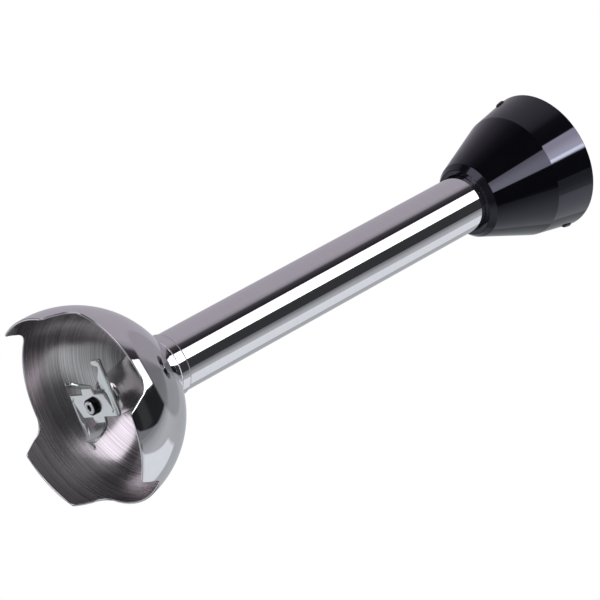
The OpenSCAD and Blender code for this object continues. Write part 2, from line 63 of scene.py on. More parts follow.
# ---------------------------------------------------------------- sizes
# The bell is part of a ball of drawn sheet; these are the sizes that its box doesn't show
BELL_R = 35.65 * MM
BULGE_Z = 3.25 * MM
SHEET = 0.7 * MM
NECK_FILLET = 3 * MM
RECESS_H = 10 * MM
RECESS_LOW = 21.6 * MM
RECESS_TOP = 18.6 * MM
RECESS_FILLET = 6 * MM
FOOT_ROUND = 1.2 * MM
FOOT_DEG = -56.3

tube_low, tube_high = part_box("shaft_tube")
bell_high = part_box("bell_guard")[1]
collar_low, collar_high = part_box("neck_collar")
cone_low, cone_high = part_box("coupling_cone")
gasket_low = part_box("socket_gasket")[0]
lip_ring_low, lip_ring_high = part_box("lip_o_ring")
housing_low, housing_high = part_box("bearing_housing")
seal_low, seal_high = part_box("shaft_seal")
clip_low, clip_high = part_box("bush_clip")
body_ring_low, body_ring_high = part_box("housing_o_ring")
hub_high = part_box("blade_hub")[1]
ring_low, ring_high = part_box("blade_collar")
shaft_low, shaft_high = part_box("drive_shaft")
circlip_low, circlip_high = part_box("lower_shaft_clip")

SEAT_GAP = 0.02 * MM
TUBE_R = 10.5 * MM
TUBE_WALL = 0.6 * MM

# Neck collar: height of the slope that is dressed down to the tube, and what is left of its edge
DRESSED_H = 0.7 * MM
DRESSED_EDGE = 0.05 * MM

# Coupling cone: lip, chamfer under the skirt, skirt, upper band and rim
LIP_R = 12.4 * MM
LIP_GROOVE_R = 12.32 * MM
SKIRT_R = 14.2 * MM
LIP_CHAMFER = 2.3 * MM
BAND_R = 23 * MM
FLANGE_T = 1 * MM
FLANGE_DROP = 0.5 * MM
FLANGE_R = 24.64 * MM
FLANGE_SEAT_R = 23.64 * MM
CUP_R = 18 * MM
SOCKET_R = 21.5 * MM
SOCKET_WALL = 1.5 * MM
SOCKET_LEN = 14 * MM
RIM_CHAMFER = 0.4 * MM
NUB_R = 1.5 * MM
NUB_LEN = 1.6 * MM
NUB_OUT = 0.75 * MM
NUB_DROP = 1.5 * MM

# Bearing housing and the blade's stack on the shaft
NOSE_HOLE_R = 4.2 * MM
NOSE_R = 5.2 * MM
DOME_R = 7.3 * MM
DOME_H = 4.2 * MM
HOUSING_LEAD = 3 * MM
SHAFT_R = 3 * MM
SEAT_R = 2.2 * MM
HEAD_R = 2.45 * MM
HEAD_H = 0.35 * MM
CENTRE_HOLE_R = 1 * MM
CENTRE_HOLE_H = 3 * MM
GROOVE = 0.4 * MM

# Mesh fineness: points closer than WELD are one point, and COLUMNS is how many turn once round the axis
WELD = 0.0001 * MM
COLUMNS = 240
SMALL_COLUMNS = 144
LARGE_COLUMNS = 288
# How far past a rounded corner its lead-in point lies, on most pieces and where corners are close together
LEAD = 0.06 * MM
SHORT_LEAD = 0.01 * MM
# A copied CAD mesh: its weld, how flat its flats are, and the bend from which an edge counts as an edge
CAD_WELD = 0.002 * MM
FLAT_WITHIN = math.radians(0.5)
EASED_FROM = math.radians(35)


# ---------------------------------------------------------------- mesh helpers
def unit(vectors):
    """Each vector of an array divided by its own length."""
    return vectors / np.linalg.norm(vectors, axis=-1, keepdims=True)


def rounded(corners, radii, lead=LEAD):
    """Closed outline with its corners rounded, as one array of points.

    At each corner the arc's centre lies on the corner's bisector at radius / sin(half angle), and the arc
    turns from one tangent point to the other. A lead-in point on each side keeps the flats shading flat.
    """
    steps = 6
    least_radius = 1e-9
    corner = np.array(corners, float)
    radius = np.array(radii, float)[:, None] + least_radius
    back = unit(np.roll(corner, 1, axis=0) - corner)
    ahead = unit(np.roll(corner, -1, axis=0) - corner)
    half = np.arccos(np.clip((back * ahead).sum(1, keepdims=True), -1, 1)) / 2
    centre = corner + unit(back + ahead) * radius / np.sin(half)
    reach = radius / np.tan(half)
    start = corner + back * reach - centre
    stop = corner + ahead * reach - centre
    turn = (math.pi - 2 * half)[:, None]
    share = np.linspace(0, 1, steps)[None, :, None]
    arc = np.sin((1 - share) * turn) * start[:, None] + np.sin(share * turn) * stop[:, None]
    arc = arc / np.sin(turn) + centre[:, None]
    lead_in = (corner + back * (reach + lead))[:, None]
    lead_out = (corner + ahead * (reach + lead))[:, None]
    return np.concatenate([lead_in, arc, lead_out], axis=1).reshape(-1, 2)


def grid_faces(rows, columns, close_rows):
    """Quads of a grid of points whose columns close on themselves; its rows may close too."""
    row = np.arange(rows if close_rows else rows - 1)[:, None]
    column = np.arange(columns)[None, :]
    next_row = (row + 1) % rows
    next_column = (column + 1) % columns
    corners = [row * columns + column, row * columns + next_column,
               next_row * columns + next_column, next_row * columns + column]
    return np.stack(np.broadcast_arrays(*corners), axis=-1).reshape(-1, 4)


def make_piece(name, grids, body, stands_for, materials):
    """Mesh object from grids of points, welded and turned outwards.

    Each grid is (points, quads, material numbers), where one material number may stand for all its quads.
    """
    offsets = np.cumsum([0] + [len(points.reshape(-1, 3)) for points, _, _ in grids])
    points = np.concatenate([points.reshape(-1, 3) for points, _, _ in grids])
    faces = np.concatenate([quads + offset for (_, quads, _), offset in zip(grids, offsets)])
    finish = np.concatenate([np.broadcast_to(numbers, len(quads)) for _, quads, numbers in grids])
    mesh = bpy.data.meshes.new(name)
    mesh.vertices.add(len(points))
    mesh.vertices.foreach_set("co", points.astype(np.float32).ravel())
    mesh.loops.add(faces.size)
    mesh.loops.foreach_set("vertex_index", faces.astype(np.int32).ravel())
    mesh.polygons.add(len(faces))
    mesh.polygons.foreach_set("loop_start", np.arange(0, faces.size, 4, dtype=np.int32))
    mesh.polygons.foreach_set("material_index", finish.astype(np.int32))
    mesh.polygons.foreach_set("use_smooth", np.ones(len(faces), bool))
    mesh.update(calc_edges=True)
    for material in materials:
        mesh.materials.append(material)
    work = bmesh.new()
    work.from_mesh(mesh)
    bmesh.ops.remove_doubles(work, verts=work.verts, dist=WELD)
    bmesh.ops.dissolve_degenerate(work, dist=WELD / 10, edges=work.edges)
    bmesh.ops.recalc_face_normals(work, faces=work.faces)
    work.to_mesh(mesh)
    work.free()
    piece = bpy.data.objects.new(name, mesh)
    bpy.context.scene.collection.objects.link(piece)
    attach(piece, body)
    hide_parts(*stands_for)
    return piece


def revolved(outline, columns=COLUMNS):
    """Grid of a closed outline of (radius, height) points turned once round the axis."""
    angle = np.linspace(0, 2 * math.pi, columns, endpoint=False)[None, :]
    radius = outline[:, 0][:, None]
    height = outline[:, 1][:, None]
    points = np.stack([radius * np.cos(angle), radius * np.sin(angle), height + 0 * angle], axis=-1)
    return points, grid_faces(len(outline), columns, True), 0


def radius_of(low, high):
    """Radius of a round part from its box."""
    return (high.x - low.x) / 2


def softened(name, node, body, material, width, crease=EASED_FROM):
    """A CAD part with its edges eased: a merged copy of its mesh, flats joined, and a bevel on every edge.

    Edges that turn less than EASED_FROM stay smooth, but from crease on they are kept as crisp bends.
    """
    mesh = nodes[node].data.copy()
    mesh.transform(nodes[node].matrix_world)
    work = bmesh.new()
    work.from_mesh(mesh)
    bmesh.ops.remove_doubles(work, verts=work.verts, dist=CAD_WELD)
    bmesh.ops.dissolve_limit(work, angle_limit=FLAT_WITHIN, verts=work.verts, edges=work.edges)
    bmesh.ops.recalc_face_normals(work, faces=work.faces)
    for bend in [edge for edge in work.edges if crease < edge.calc_face_angle(0.0) < EASED_FROM]:
        bend.smooth = False
    work.to_mesh(mesh)
    work.free()
    mesh.polygons.foreach_set("use_smooth", np.ones(len(mesh.polygons), bool))
    mesh.materials.clear()
    mesh.materials.append(material)
    piece = bpy.data.objects.new(name, mesh)
    bpy.context.scene.collection.objects.link(piece)
    ease = piece.modifiers.new("eased_edges", "BEVEL")
    ease.width = width
    ease.segments = 3
    ease.limit_method = "ANGLE"
    ease.angle_limit = EASED_FROM
    ease.use_clamp_overlap = False
    ease.harden_normals = True
    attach(piece, body)
    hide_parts(node)
    return piece


# ---------------------------------------------------------------- material helpers
def linear(code):
    """Linear RGBA of an sRGB hex colour."""
    channel = np.array([int(code[i:i + 2], 16) / 255 for i in (1, 3, 5)])
    low = channel / 12.92
    high = ((channel + 0.055) / 1.055) ** 2.4
    return tuple(float(v) for v in np.where(channel <= 0.04045, low, high)) + (1.0,)


def add(tree, kind, inputs=(), output=0, **settings):
    """Adds a shader node with its settings and links, and returns one of its outputs.

    inputs is a list in the order of the node's sockets, or a dictionary by a socket's name or number. A
    value that is another node's output is linked, and any other value is set.
    """
    node = tree.nodes.new("ShaderNode" + kind)
    for key, value in settings.items():
        setattr(node, key, value)
    pairs = inputs.items() if isinstance(inputs, dict) else enumerate(inputs)
    for key, value in pairs:
        if isinstance(value, bpy.types.NodeSocket):
            tree.links.new(value, node.inputs[key])
        else:
            node.inputs[key].default_value = value
    return node.outputs[output] if node.outputs else None


def new_material(name, **shader_inputs):
    """Material with one Principled shader.

    Returns the material, its tree, the shader and the object's own coordinates.
    """
    material = bpy.data.materials.new(name)
    material.use_nodes = True
    tree = material.node_tree
    shader = tree.nodes["Principled BSDF"]
    for key, value in shader_inputs.items():
        shader.inputs[key.replace("_", " ")].default_value = value
    return material, tree, shader, add(tree, "TexCoord", output="Object")


def mottle(tree, place, size, stretch=(1, 1, 1)):
    """Irregular pattern whose patches are about size metres across, stretched along the axes.

    Its value lies mostly within MOTTLE_SPAN.
    """
    stretched = add(tree, "Mapping", {"Vector": place, "Scale": tuple(1 / s for s in stretch)})
    return add(tree, "TexNoise", {"Vector": stretched, "Scale": 1 / size, "Detail": 3.0}, "Fac")


def rings(tree, place, size):
    """Fine rings round the axis: an irregular pattern read at (distance from the axis, height).

    The pattern lies mostly between 0.35 and 0.65, and is spread to run from 0 to 1.
    """
    x, y, height = add(tree, "SeparateXYZ", [place]).node.outputs
    away = add(tree, "VectorMath", [add(tree, "CombineXYZ", [x, y])], "Value", operation="LENGTH")
    profile = add(tree, "CombineXYZ", [away, height])
    lines = add(tree, "TexNoise", {"Vector": profile, "Scale": 1 / size, "Detail": 3.0, "Roughness": 0.6},
                "Fac")
    return add(tree, "MapRange", [lines, 0.35, 0.65, 0.0, 1.0])


def surface(tree, shader, pattern, span, colours, roughness, relief, depth):
    """Gives a shader its colour and roughness by one pattern and its relief by another, depth metres deep.

    The colour runs between two hex colours by the pattern's value. The roughness runs between two values
    while the pattern runs over its span. Returns the roughness.
    """
    dark, light = colours
    tint = add(tree, "Mix", {0: pattern, 6: linear(dark), 7: linear(light)}, 2, data_type="RGBA")
    rough = add(tree, "MapRange", [pattern, *span, *roughness])
    normal = add(tree, "Bump", {"Height": relief, "Distance": depth, "Strength": 1.0})
    tree.links.new(tint, shader.inputs["Base Color"])
    tree.links.new(rough, shader.inputs["Roughness"])
    tree.links.new(normal, shader.inputs["Normal"])
    return rough


# ---------------------------------------------------------------- materials
# Between which values the mottle and the rings mostly lie
MOTTLE_SPAN = (0.3, 0.7)
RING_SPAN = (0.0, 1.0)
# Heights between which the scoured mouth of the bell turns into the cleaner metal above it
WEAR_LOW = 4 * MM
WEAR_HIGH = 24 * MM


def polished_stainless(name, stretch=(1, 1, 1)):
    """Stainless 304, mirror polished on a wheel: clear reflections with a faint haze from the last buffing.

    Real buffing lines are a few hundredths of a millimetre wide. These are drawn 0.25 mm wide so that they
    show at all.
    """
    material, tree, shader, place = new_material(name, Metallic=1.0)
    haze = mottle(tree, place, 6 * MM, stretch)
    lines = mottle(tree, place, 0.25 * MM, stretch)
    surface(tree, shader, haze, MOTTLE_SPAN, ("#d3cfd3", "#dcd9dc"), (0.035, 0.06), lines, 0.0006 * MM)
    return material


def spun_stainless(name, colours, roughness, ring, depth, scour=0.0):
    """Stainless left as spun or turned: fine rings round the axis that draw each highlight out across them.

    Real rings are about a tenth of a millimetre wide, and are drawn coarser so that they show. A part may be
    duller by scour at its open mouth, where it is handled and scoured most.
    """
    material, tree, shader, place = new_material(name, Metallic=1.0, Anisotropic=0.6)
    grain = rings(tree, place, ring)
    rough = surface(tree, shader, grain, RING_SPAN, colours, roughness, grain, depth)
    if scour:
        height = add(tree, "SeparateXYZ", [place], 2)
        wear = add(tree, "MapRange", [height, WEAR_LOW, WEAR_HIGH, scour, 0.0])
        tree.links.new(add(tree, "Math", [rough, wear]), shader.inputs["Roughness"])
    tree.links.new(add(tree, "Tangent", direction_type="RADIAL", axis="Z"), shader.inputs["Tangent"])
    return material


def tumbled_stainless():
    """Stainless 420 sheet, stamped and tumbled: an even pale satin with tiny random scratches.

    The scratches are finer than 0.1 mm and are drawn 0.15 mm wide so that they show.
    """
    material, tree, shader, place = new_material("tumbled_blade_steel", Metallic=1.0)
    cloud = mottle(tree, place, 1.5 * MM)
    scratches = mottle(tree, place, 0.15 * MM, (3, 1, 1))
    surface(tree, shader, cloud, MOTTLE_SPAN, ("#d6dad8", "#e3e6e3"), (0.16, 0.24), scratches, 0.002 * MM)
    return material


def small_metal(name, colours, rough, grain=0.3 * MM):
    """Small steel or bronze part: its own colour, mottled a little, with a relief as fine as its grain.

    Real grains are a few hundredths of a millimetre wide, and are drawn coarser so that they show.
    """
    material, tree, shader, place = new_material(name, Metallic=1.0)
    cloud = mottle(tree, place, grain)
    surface(tree, shader, cloud, MOTTLE_SPAN, colours, (rough - 0.05, rough + 0.05), cloud, 0.002 * MM)
    return material


def moulded(name, colours, rough, ior, grain, depth, shine="#ffffff"):
    """Moulded plastic or rubber: an even colour, with the mould's own texture as a fine relief.

    A real eroded texture is about a tenth of a millimetre wide, and is drawn coarser so that it shows.
    """
    material, tree, shader, place = new_material(name, IOR=ior, Specular_Tint=linear(shine))
    cloud = mottle(tree, place, 8 * MM)
    texture = mottle(tree, place, grain)
    surface(tree, shader, cloud, MOTTLE_SPAN, colours, (rough * 0.85, rough * 1.15), texture, depth)
    return material


# Bell and collar: a clear mirror that is very slightly pink
POLISHED = polished_stainless("polished_stainless_steel")
# Tube: polished between wheels while it turns, so its haze lies in narrow bands round it
TUBE_STEEL = polished_stainless("centreless_polished_tube", (1, 1, 0.12))
# Inside of the bell: spun and not polished, so light smears into a fan across the rings
SPUN = spun_stainless("spun_stainless_inside", ("#a7a3a3", "#d5d1d1"), (0.09, 0.17), 0.5 * MM, 0.004 * MM,
                      scour=0.2)
# Housing: fine turned, brighter and smoother than the bell's inside
DOME = spun_stainless("turned_stainless_housing", ("#cfcbcb", "#dedbdb"), (0.12, 0.2), 0.2 * MM, 0.001 * MM)
# Blade: satin, so it shows paler and more even than the bell round it
BLADE = tumbled_stainless()
# Shaft, hub and pin: ground, with a soft sheen round each
GROUND = spun_stainless("ground_shaft_steel", ("#b9b9bb", "#d2d2d4"), (0.14, 0.24), 0.15 * MM, 0.002 * MM)
# Blade collar: black oxide, almost no colour but a metal's broad highlight
BLACKENED = small_metal("black_oxide_steel", ("#141414", "#1e1d1d"), 0.4)
# Clips, washer and screws: a zinc plate's pale cool grey
SPRING = small_metal("zinc_plated_spring_steel", ("#a8aaad", "#bfc1c4"), 0.3)
# Bushes: sintered bronze, brown and open grained, dull with oil
BRONZE = small_metal("oiled_sintered_bronze", ("#8f6a3c", "#b58c55"), 0.5, 0.12 * MM)
# Cone: black ABS from a polished mould, which mirrors like lacquer with a slight ripple
GLOSS_BLACK = moulded("gloss_moulded_abs", ("#07070a", "#0b0b0f"), 0.05, 1.54, 3 * MM, 0.002 * MM,
                      shine="#ece9ff")
# Cup and carrier: black nylon from a spark-eroded mould, an even satin
SATIN_BLACK = moulded("satin_moulded_nylon", ("#1b1b1d", "#222224"), 0.42, 1.53, 0.25 * MM, 0.006 * MM)
# Drive dog: grey nylon, slightly rough from its glass fibres
DOG_NYLON = moulded("glass_filled_nylon", ("#63656a", "#74767b"), 0.45, 1.53, 0.3 * MM, 0.006 * MM)
# Steady bush and thrust washers: undyed nylon, a warm off-white
NATURAL = moulded("natural_nylon", ("#e6e1d3", "#eee9dc"), 0.4, 1.53, 0.3 * MM, 0.004 * MM)
# Seals: black rubber, which shows no clear reflection
RUBBER = moulded("matt_black_rubber", ("#161616", "#202020"), 0.65, 1.52, 0.2 * MM, 0.006 * MM)

CAD_FINISH = {
    "housing_o_ring": RUBBER, "shaft_seal": RUBBER, "carrier_o_ring": RUBBER, "lip_o_ring": RUBBER,
    "socket_gasket": RUBBER, "seal_washer": SPRING, "bush_clip": SPRING, "lower_shaft_clip": SPRING,
    "lower_bush": BRONZE, "upper_bush": BRONZE, "steady_bush": NATURAL,
    "lower_thrust_washer": NATURAL, "upper_thrust_washer": NATURAL, "upper_carrier": SATIN_BLACK,
    "coupling_pin": GROUND,
}
for node_name, finish in CAD_FINISH.items():
    for material_slot in nodes[node_name].material_slots:
        material_slot.material = finish


# ---------------------------------------------------------------- bell
def recess_edge(mid_r):
    """Edge of the bell's sheet for a third of a turn, as (angle from the recess's middle, height).

    Seen along the recess's middle the edge is its flat top, a round corner, a leaning side, a round foot
    corner and the feet's plane. A point at sideways distance t lies at the angle asin(t / radius there).
    The edge is then cut into even steps, as many in each half.
    """
    flat_points = 60
    corner_points = 40
    foot_points = 30
    plane_points = 40
    half_steps = 100
    lean = math.atan2(RECESS_LOW - RECESS_TOP, RECESS_H)
    top_x = RECESS_TOP - RECESS_FILLET * math.tan((math.pi / 2 - lean) / 2)
    foot_x = RECESS_LOW + FOOT_ROUND * math.tan((math.pi / 2 + lean) / 2)
    corner = np.linspace(math.pi / 2, lean, corner_points)
    foot = np.linspace(-math.pi + lean, -math.pi / 2, foot_points)
    side = np.concatenate([np.linspace(0, top_x, flat_points), top_x + RECESS_FILLET * np.cos(corner),
                           foot_x + FOOT_ROUND * np.cos(foot)])
    height = np.concatenate([np.full(flat_points, RECESS_H),
                             RECESS_H - RECESS_FILLET * (1 - np.sin(corner)),
                             FOOT_ROUND * (1 + np.sin(foot))])
    radius = np.sqrt(mid_r ** 2 - (height - BULGE_Z) ** 2)
    angle = np.arcsin(side / radius)
    angle = np.concatenate([angle, np.linspace(angle[-1], math.pi / 3, plane_points)[1:]])
    height = np.concatenate([height, np.zeros(plane_points - 1)])
    along = np.concatenate([[0], np.cumsum(np.hypot(np.diff(angle) * mid_r, np.diff(height)))])
    even = np.linspace(0, along[-1], half_steps + 1)
    angle = np.interp(even, along, angle)
    height = np.interp(even, along, height)
    return np.concatenate([angle, -angle[-2:0:-1]]), np.concatenate([height, height[-2:0:-1]])


def bell():
    """Drawn bell, one closed sheet: ball, hollow corner and neck, with rounded edges all the way round.

    The sheet's middle surface is a profile turned round the axis. Each column starts at the sheet's edge
    and climbs to the neck; its points stand half a sheet off the middle surface, outside and inside. At the
    edge the two sides are joined by two small arcs in the plane of the sheet's normal and the edge's own.
    """
    edge_round = 0.22 * MM
    top_round = 0.15 * MM
    ball_rows = 52
    hollow_rows = 14
    round_points = 5
    half = SHEET / 2
    mid_r = BELL_R - half
    neck_mid = TUBE_R + SEAT_GAP + half
    corner_r = NECK_FILLET + half
    corner_x = neck_mid + corner_r
    corner_z = BULGE_Z + math.sqrt((mid_r + corner_r) ** 2 - corner_x ** 2)
    corner_turn = math.atan2(corner_z - BULGE_Z, corner_x)

    # A recess's middle lies a sixth of a turn on from a foot's middle
    third = 2 * math.pi / 3
    edge_angle, edge_height = recess_edge(mid_r)
    order = np.argsort(edge_angle % third)
    first = (edge_angle % third)[order] + math.radians(FOOT_DEG) + third / 2
    angle = np.concatenate([first + k * third for k in range(3)])
    height = np.tile(edge_height[order], 3)

    radius = np.sqrt(mid_r ** 2 - (height - BULGE_Z) ** 2)
    edge = np.stack([radius * np.cos(angle), radius * np.sin(angle), height], axis=-1)
    centre = np.array([0, 0, BULGE_Z])
    normal = unit(edge - centre)
    along = unit(np.roll(edge, -1, axis=0) - np.roll(edge, 1, axis=0))
    outward = unit(np.cross(along, normal))
    outward = outward * np.where(outward[:, 2:] > 0, -1, 1)
    inset = centre + mid_r * unit(edge - edge_round * outward - centre)
    low_angle = np.unwrap(np.arctan2(inset[:, 1], inset[:, 0]))
    low_angle = low_angle + 2 * math.pi * np.round((angle - low_angle) / (2 * math.pi))
    low_turn = np.arcsin((inset[:, 2] - BULGE_Z) / mid_r)

    def sides(offset):
        """Rows from the edge up to the neck, at that offset from the middle surface.

        The ball's rows climb in even steps of elevation. Their compass angle starts at the inset edge's own
        and comes to the column's with the cube of the way that is left.
        """
        share = np.linspace(0, 1, ball_rows)[:, None]
        turn = low_turn + (corner_turn - low_turn) * share
        spin = angle + (low_angle - angle) * (1 - share) ** 3
        ball = np.stack([(mid_r + offset) * np.cos(turn), spin, BULGE_Z + (mid_r + offset) * np.sin(turn)])
        hollow = np.linspace(corner_turn, 0, hollow_rows)[1:, None] + 0 * angle
        corner = np.stack([corner_x - (corner_r - offset) * np.cos(hollow), angle + 0 * hollow,
                           corner_z - (corner_r - offset) * np.sin(hollow)])
        neck_share = np.array([0.5, 0.9])[:, None]
        neck_z = corner_z + neck_share * (bell_high.z - corner_z) + 0 * angle
        neck = np.stack([neck_mid + offset + 0 * neck_z, angle + 0 * neck_z, neck_z])
        rows = np.concatenate([ball, corner, neck], axis=1)
        return np.stack([rows[0] * np.cos(rows[1]), rows[0] * np.sin(rows[1]), rows[2]], axis=-1)

    outer, inner = sides(half), sides(-half)
    bend = np.linspace(0, math.pi / 2, round_points)
    inward = top_round * (1 - np.cos(bend))
    top_x = np.concatenate([-half + inward, half - inward[::-1]])
    top_z = bell_high.z - top_round * (1 - np.sin(np.concatenate([bend, bend[::-1]])))
    top_r = (neck_mid + top_x)[:, None]
    top = np.stack([top_r * np.cos(angle), top_r * np.sin(angle), top_z[:, None] + 0 * angle], axis=-1)
    up = unit(inset - centre)
    flat = unit(outward - (outward * up).sum(1, keepdims=True) * up)
    arc = bend[1:, None, None]
    across = up * (half - edge_round + edge_round * np.cos(arc))
    beyond = flat * edge_round * np.sin(arc)
    outer_lip = inset + across + beyond
    inner_lip = inset - across + beyond
    points = np.concatenate([inner, top, outer[::-1], outer_lip, inner_lip[::-1]])
    rows, columns = points.shape[:2]
    faces = grid_faces(rows, columns, True)
    inside = np.repeat(np.arange(rows) < len(inner) - 1, columns)
    return make_piece("bell_sheet", [(points, faces, inside.astype(int))], "foot", ["bell_guard"],
                      [POLISHED, SPUN])


# ---------------------------------------------------------------- turned pieces
def turned(name, corners, radii, body, node, material, columns=COLUMNS, lead=LEAD):
    """A piece that is one rounded outline turned round the axis."""
    outline = rounded(corners, radii, lead)
    return make_piece(name, [revolved(outline, columns)], body, [node], [material])


def tube():
    """Shaft tube: a plain wall, with a flare at the upper end that the cone's carrier clamps."""
    flare = tube_high.z - TUBE_WALL
    flare_r = radius_of(tube_low, tube_high)
    corners = [(TUBE_R - TUBE_WALL, tube_low.z), (TUBE_R, tube_low.z), (TUBE_R, flare),
               (flare_r, flare), (flare_r, tube_high.z), (TUBE_R - TUBE_WALL, tube_high.z)]
    radii = [0.1 * MM, 0.1 * MM, 0.05 * MM, 0.2 * MM, 0.2 * MM, 0.05 * MM]
    return turned("tube_wall", corners, radii, "foot", "shaft_tube", TUBE_STEEL)


def collar():
    """Thin ring pressed over the bell's neck; its upper edge slopes in to the tube."""
    inner = TUBE_R + SEAT_GAP
    outer = radius_of(collar_low, collar_high)
    corners = [(inner, collar_low.z), (outer, collar_low.z), (outer, collar_high.z - DRESSED_H),
               (inner + DRESSED_EDGE, collar_high.z), (inner, collar_high.z)]
    radii = [0.05 * MM, 0.03 * MM, 0.2 * MM, 0.02 * MM, 0.02 * MM]
    return turned("neck_ring", corners, radii, "foot", "neck_collar", POLISHED)


def capsule(centre, axis, radius, length):
    """Grid of a round-ended bar: a half outline of two quarter circles, turned about the bar's own axis."""
    quarter_points = 12
    columns = 32
    quarter = np.linspace(0, math.pi / 2, quarter_points)
    reach = np.concatenate([radius * np.sin(quarter), radius * np.cos(quarter)])
    along = np.concatenate([-radius * np.cos(quarter), length + radius * np.sin(quarter)])
    spin = np.linspace(0, 2 * math.pi, columns, endpoint=False)[None, :]
    side = np.cross(axis, [0, 1, 0])
    other = np.cross(axis, side)
    points = (centre + along[:, None, None] * axis
              + (reach[:, None] * np.cos(spin))[..., None] * side
              + (reach[:, None] * np.sin(spin))[..., None] * other)
    return points, grid_faces(len(reach), columns, False), 0


def cone():
    """Moulded coupling cone: lip, skirt, upper band and rim outside, stepped bores inside, and two nubs.

    The outline is turned round the axis; each nub is a round-ended bar that lies along the band. The
    screws' holes lie under the cup and are left out.
    """
    rim_r = radius_of(cone_low, cone_high) - NUB_OUT
    bore = TUBE_R + SEAT_GAP
    step_z = cone_high.z - FLANGE_DROP - SOCKET_LEN
    band_z = step_z - SOCKET_WALL
    slope = (rim_r - BAND_R) / (cone_high.z - band_z)
    flange_z = cone_high.z - FLANGE_DROP - FLANGE_T
    ledge_z = gasket_low.z
    flare_z = tube_high.z - TUBE_WALL
    corners = [(LIP_R, cone_low.z), (SKIRT_R, cone_low.z + LIP_CHAMFER), (BAND_R, band_z),
               (rim_r - RIM_CHAMFER * slope, cone_high.z - RIM_CHAMFER), (rim_r - RIM_CHAMFER, cone_high.z),
               (FLANGE_R + SEAT_GAP, cone_high.z), (FLANGE_R + SEAT_GAP, flange_z),
               (FLANGE_SEAT_R, flange_z), (SOCKET_R + SEAT_GAP, band_z), (CUP_R + SEAT_GAP, band_z),
               (CUP_R + SEAT_GAP, ledge_z), (LIP_R + SEAT_GAP, ledge_z), (LIP_R + SEAT_GAP, flare_z),
               (bore, flare_z), (bore, lip_ring_high.z), (LIP_GROOVE_R, lip_ring_high.z),
               (LIP_GROOVE_R, lip_ring_low.z), (bore, lip_ring_low.z), (bore, cone_low.z)]
    radii = [0.35 * MM, 0.4 * MM, 1.5 * MM, 0.2 * MM, 0.2 * MM, 0.15 * MM] + [0.05 * MM] * 12 + [0.3 * MM]
    grids = [revolved(rounded(corners, radii), LARGE_COLUMNS)]
    lean = math.atan(slope)
    nub_z = cone_high.z - NUB_R - NUB_LEN - NUB_DROP
    nub_x = rim_r - slope * (cone_high.z - nub_z) + NUB_OUT - NUB_R
    for side in (-1, 1):
        centre = np.array([side * nub_x, 0, nub_z])
        axis = np.array([side * math.sin(lean), 0, math.cos(lean)])
        grids.append(capsule(centre, axis, NUB_R, NUB_LEN))
    return make_piece("cone_shell", grids, "foot", ["coupling_cone"], [GLOSS_BLACK])


def housing():
    """Turned bearing housing: a domed nose with a hole for the seal, a cone and a long plug in the tube."""
    body_r = radius_of(housing_low, housing_high)
    full_z = tube_low.z - HOUSING_LEAD
    bore = radius_of(seal_low, seal_high) + SEAT_GAP
    clip_r = radius_of(clip_low, clip_high) + SEAT_GAP
    groove_r = body_r - (body_ring_high.z - body_ring_low.z)
    dome_points = 16
    turn = np.linspace(-math.pi / 2, 0, dome_points)
    dome_z = housing_low.z + DOME_H * (1 + np.sin(turn))
    dome = list(zip(NOSE_R + (DOME_R - NOSE_R) * np.cos(turn), dome_z))
    corners = dome + [(body_r, full_z), (body_r, body_ring_low.z), (groove_r, body_ring_low.z),
                      (groove_r, body_ring_high.z), (body_r, body_ring_high.z), (body_r, housing_high.z),
                      (bore, housing_high.z), (bore, clip_high.z), (clip_r, clip_high.z),
                      (clip_r, clip_low.z), (bore, clip_low.z), (bore, seal_low.z),
                      (NOSE_HOLE_R, seal_low.z), (NOSE_HOLE_R, housing_low.z)]
    radii = [0.01 * MM] * len(dome) + [0.5 * MM] + [0.05 * MM] * 12 + [0.2 * MM]
    return turned("housing_dome", corners, radii, "foot", "bearing_housing", DOME,
                  lead=SHORT_LEAD)


def shaft():
    """Drive shaft: ground bar with a thin seat for the blade, a peened head and a drilled centre."""
    foot = shaft_low.z
    head = foot + HEAD_H
    groove_r = SHAFT_R - GROOVE
    corners = [(0, foot + CENTRE_HOLE_H), (CENTRE_HOLE_R, foot + CENTRE_HOLE_H), (CENTRE_HOLE_R, foot),
               (SEAT_R, foot), (HEAD_R, head), (SEAT_R, head), (SEAT_R, hub_high.z), (SHAFT_R, hub_high.z),
               (SHAFT_R, circlip_low.z), (groove_r, circlip_low.z), (groove_r, circlip_high.z),
               (SHAFT_R, circlip_high.z), (SHAFT_R, shaft_high.z), (0, shaft_high.z)]
    radii = [0, 0, 0.25 * MM, 0.2 * MM, 0.1 * MM, 0, 0, 0.15 * MM, 0, 0, 0, 0, 0.3 * MM, 0]
    return turned("shaft_bar", corners, radii, "rotor", "drive_shaft", GROUND,
                  columns=SMALL_COLUMNS, lead=SHORT_LEAD)


def blade_ring():
    """Blackened ring between the blade and the shaft's peened head."""
    inner = SEAT_R + SEAT_GAP
    outer = radius_of(ring_low, ring_high)
    corners = [(inner, ring_low.z), (outer, ring_low.z), (outer, ring_high.z), (inner, ring_high.z)]
    radii = [0.1 * MM, 0.15 * MM, 0.1 * MM, 0.05 * MM]
    return turned("collar_ring", corners, radii, "rotor", "blade_collar", BLACKENED,
                  columns=SMALL_COLUMNS)


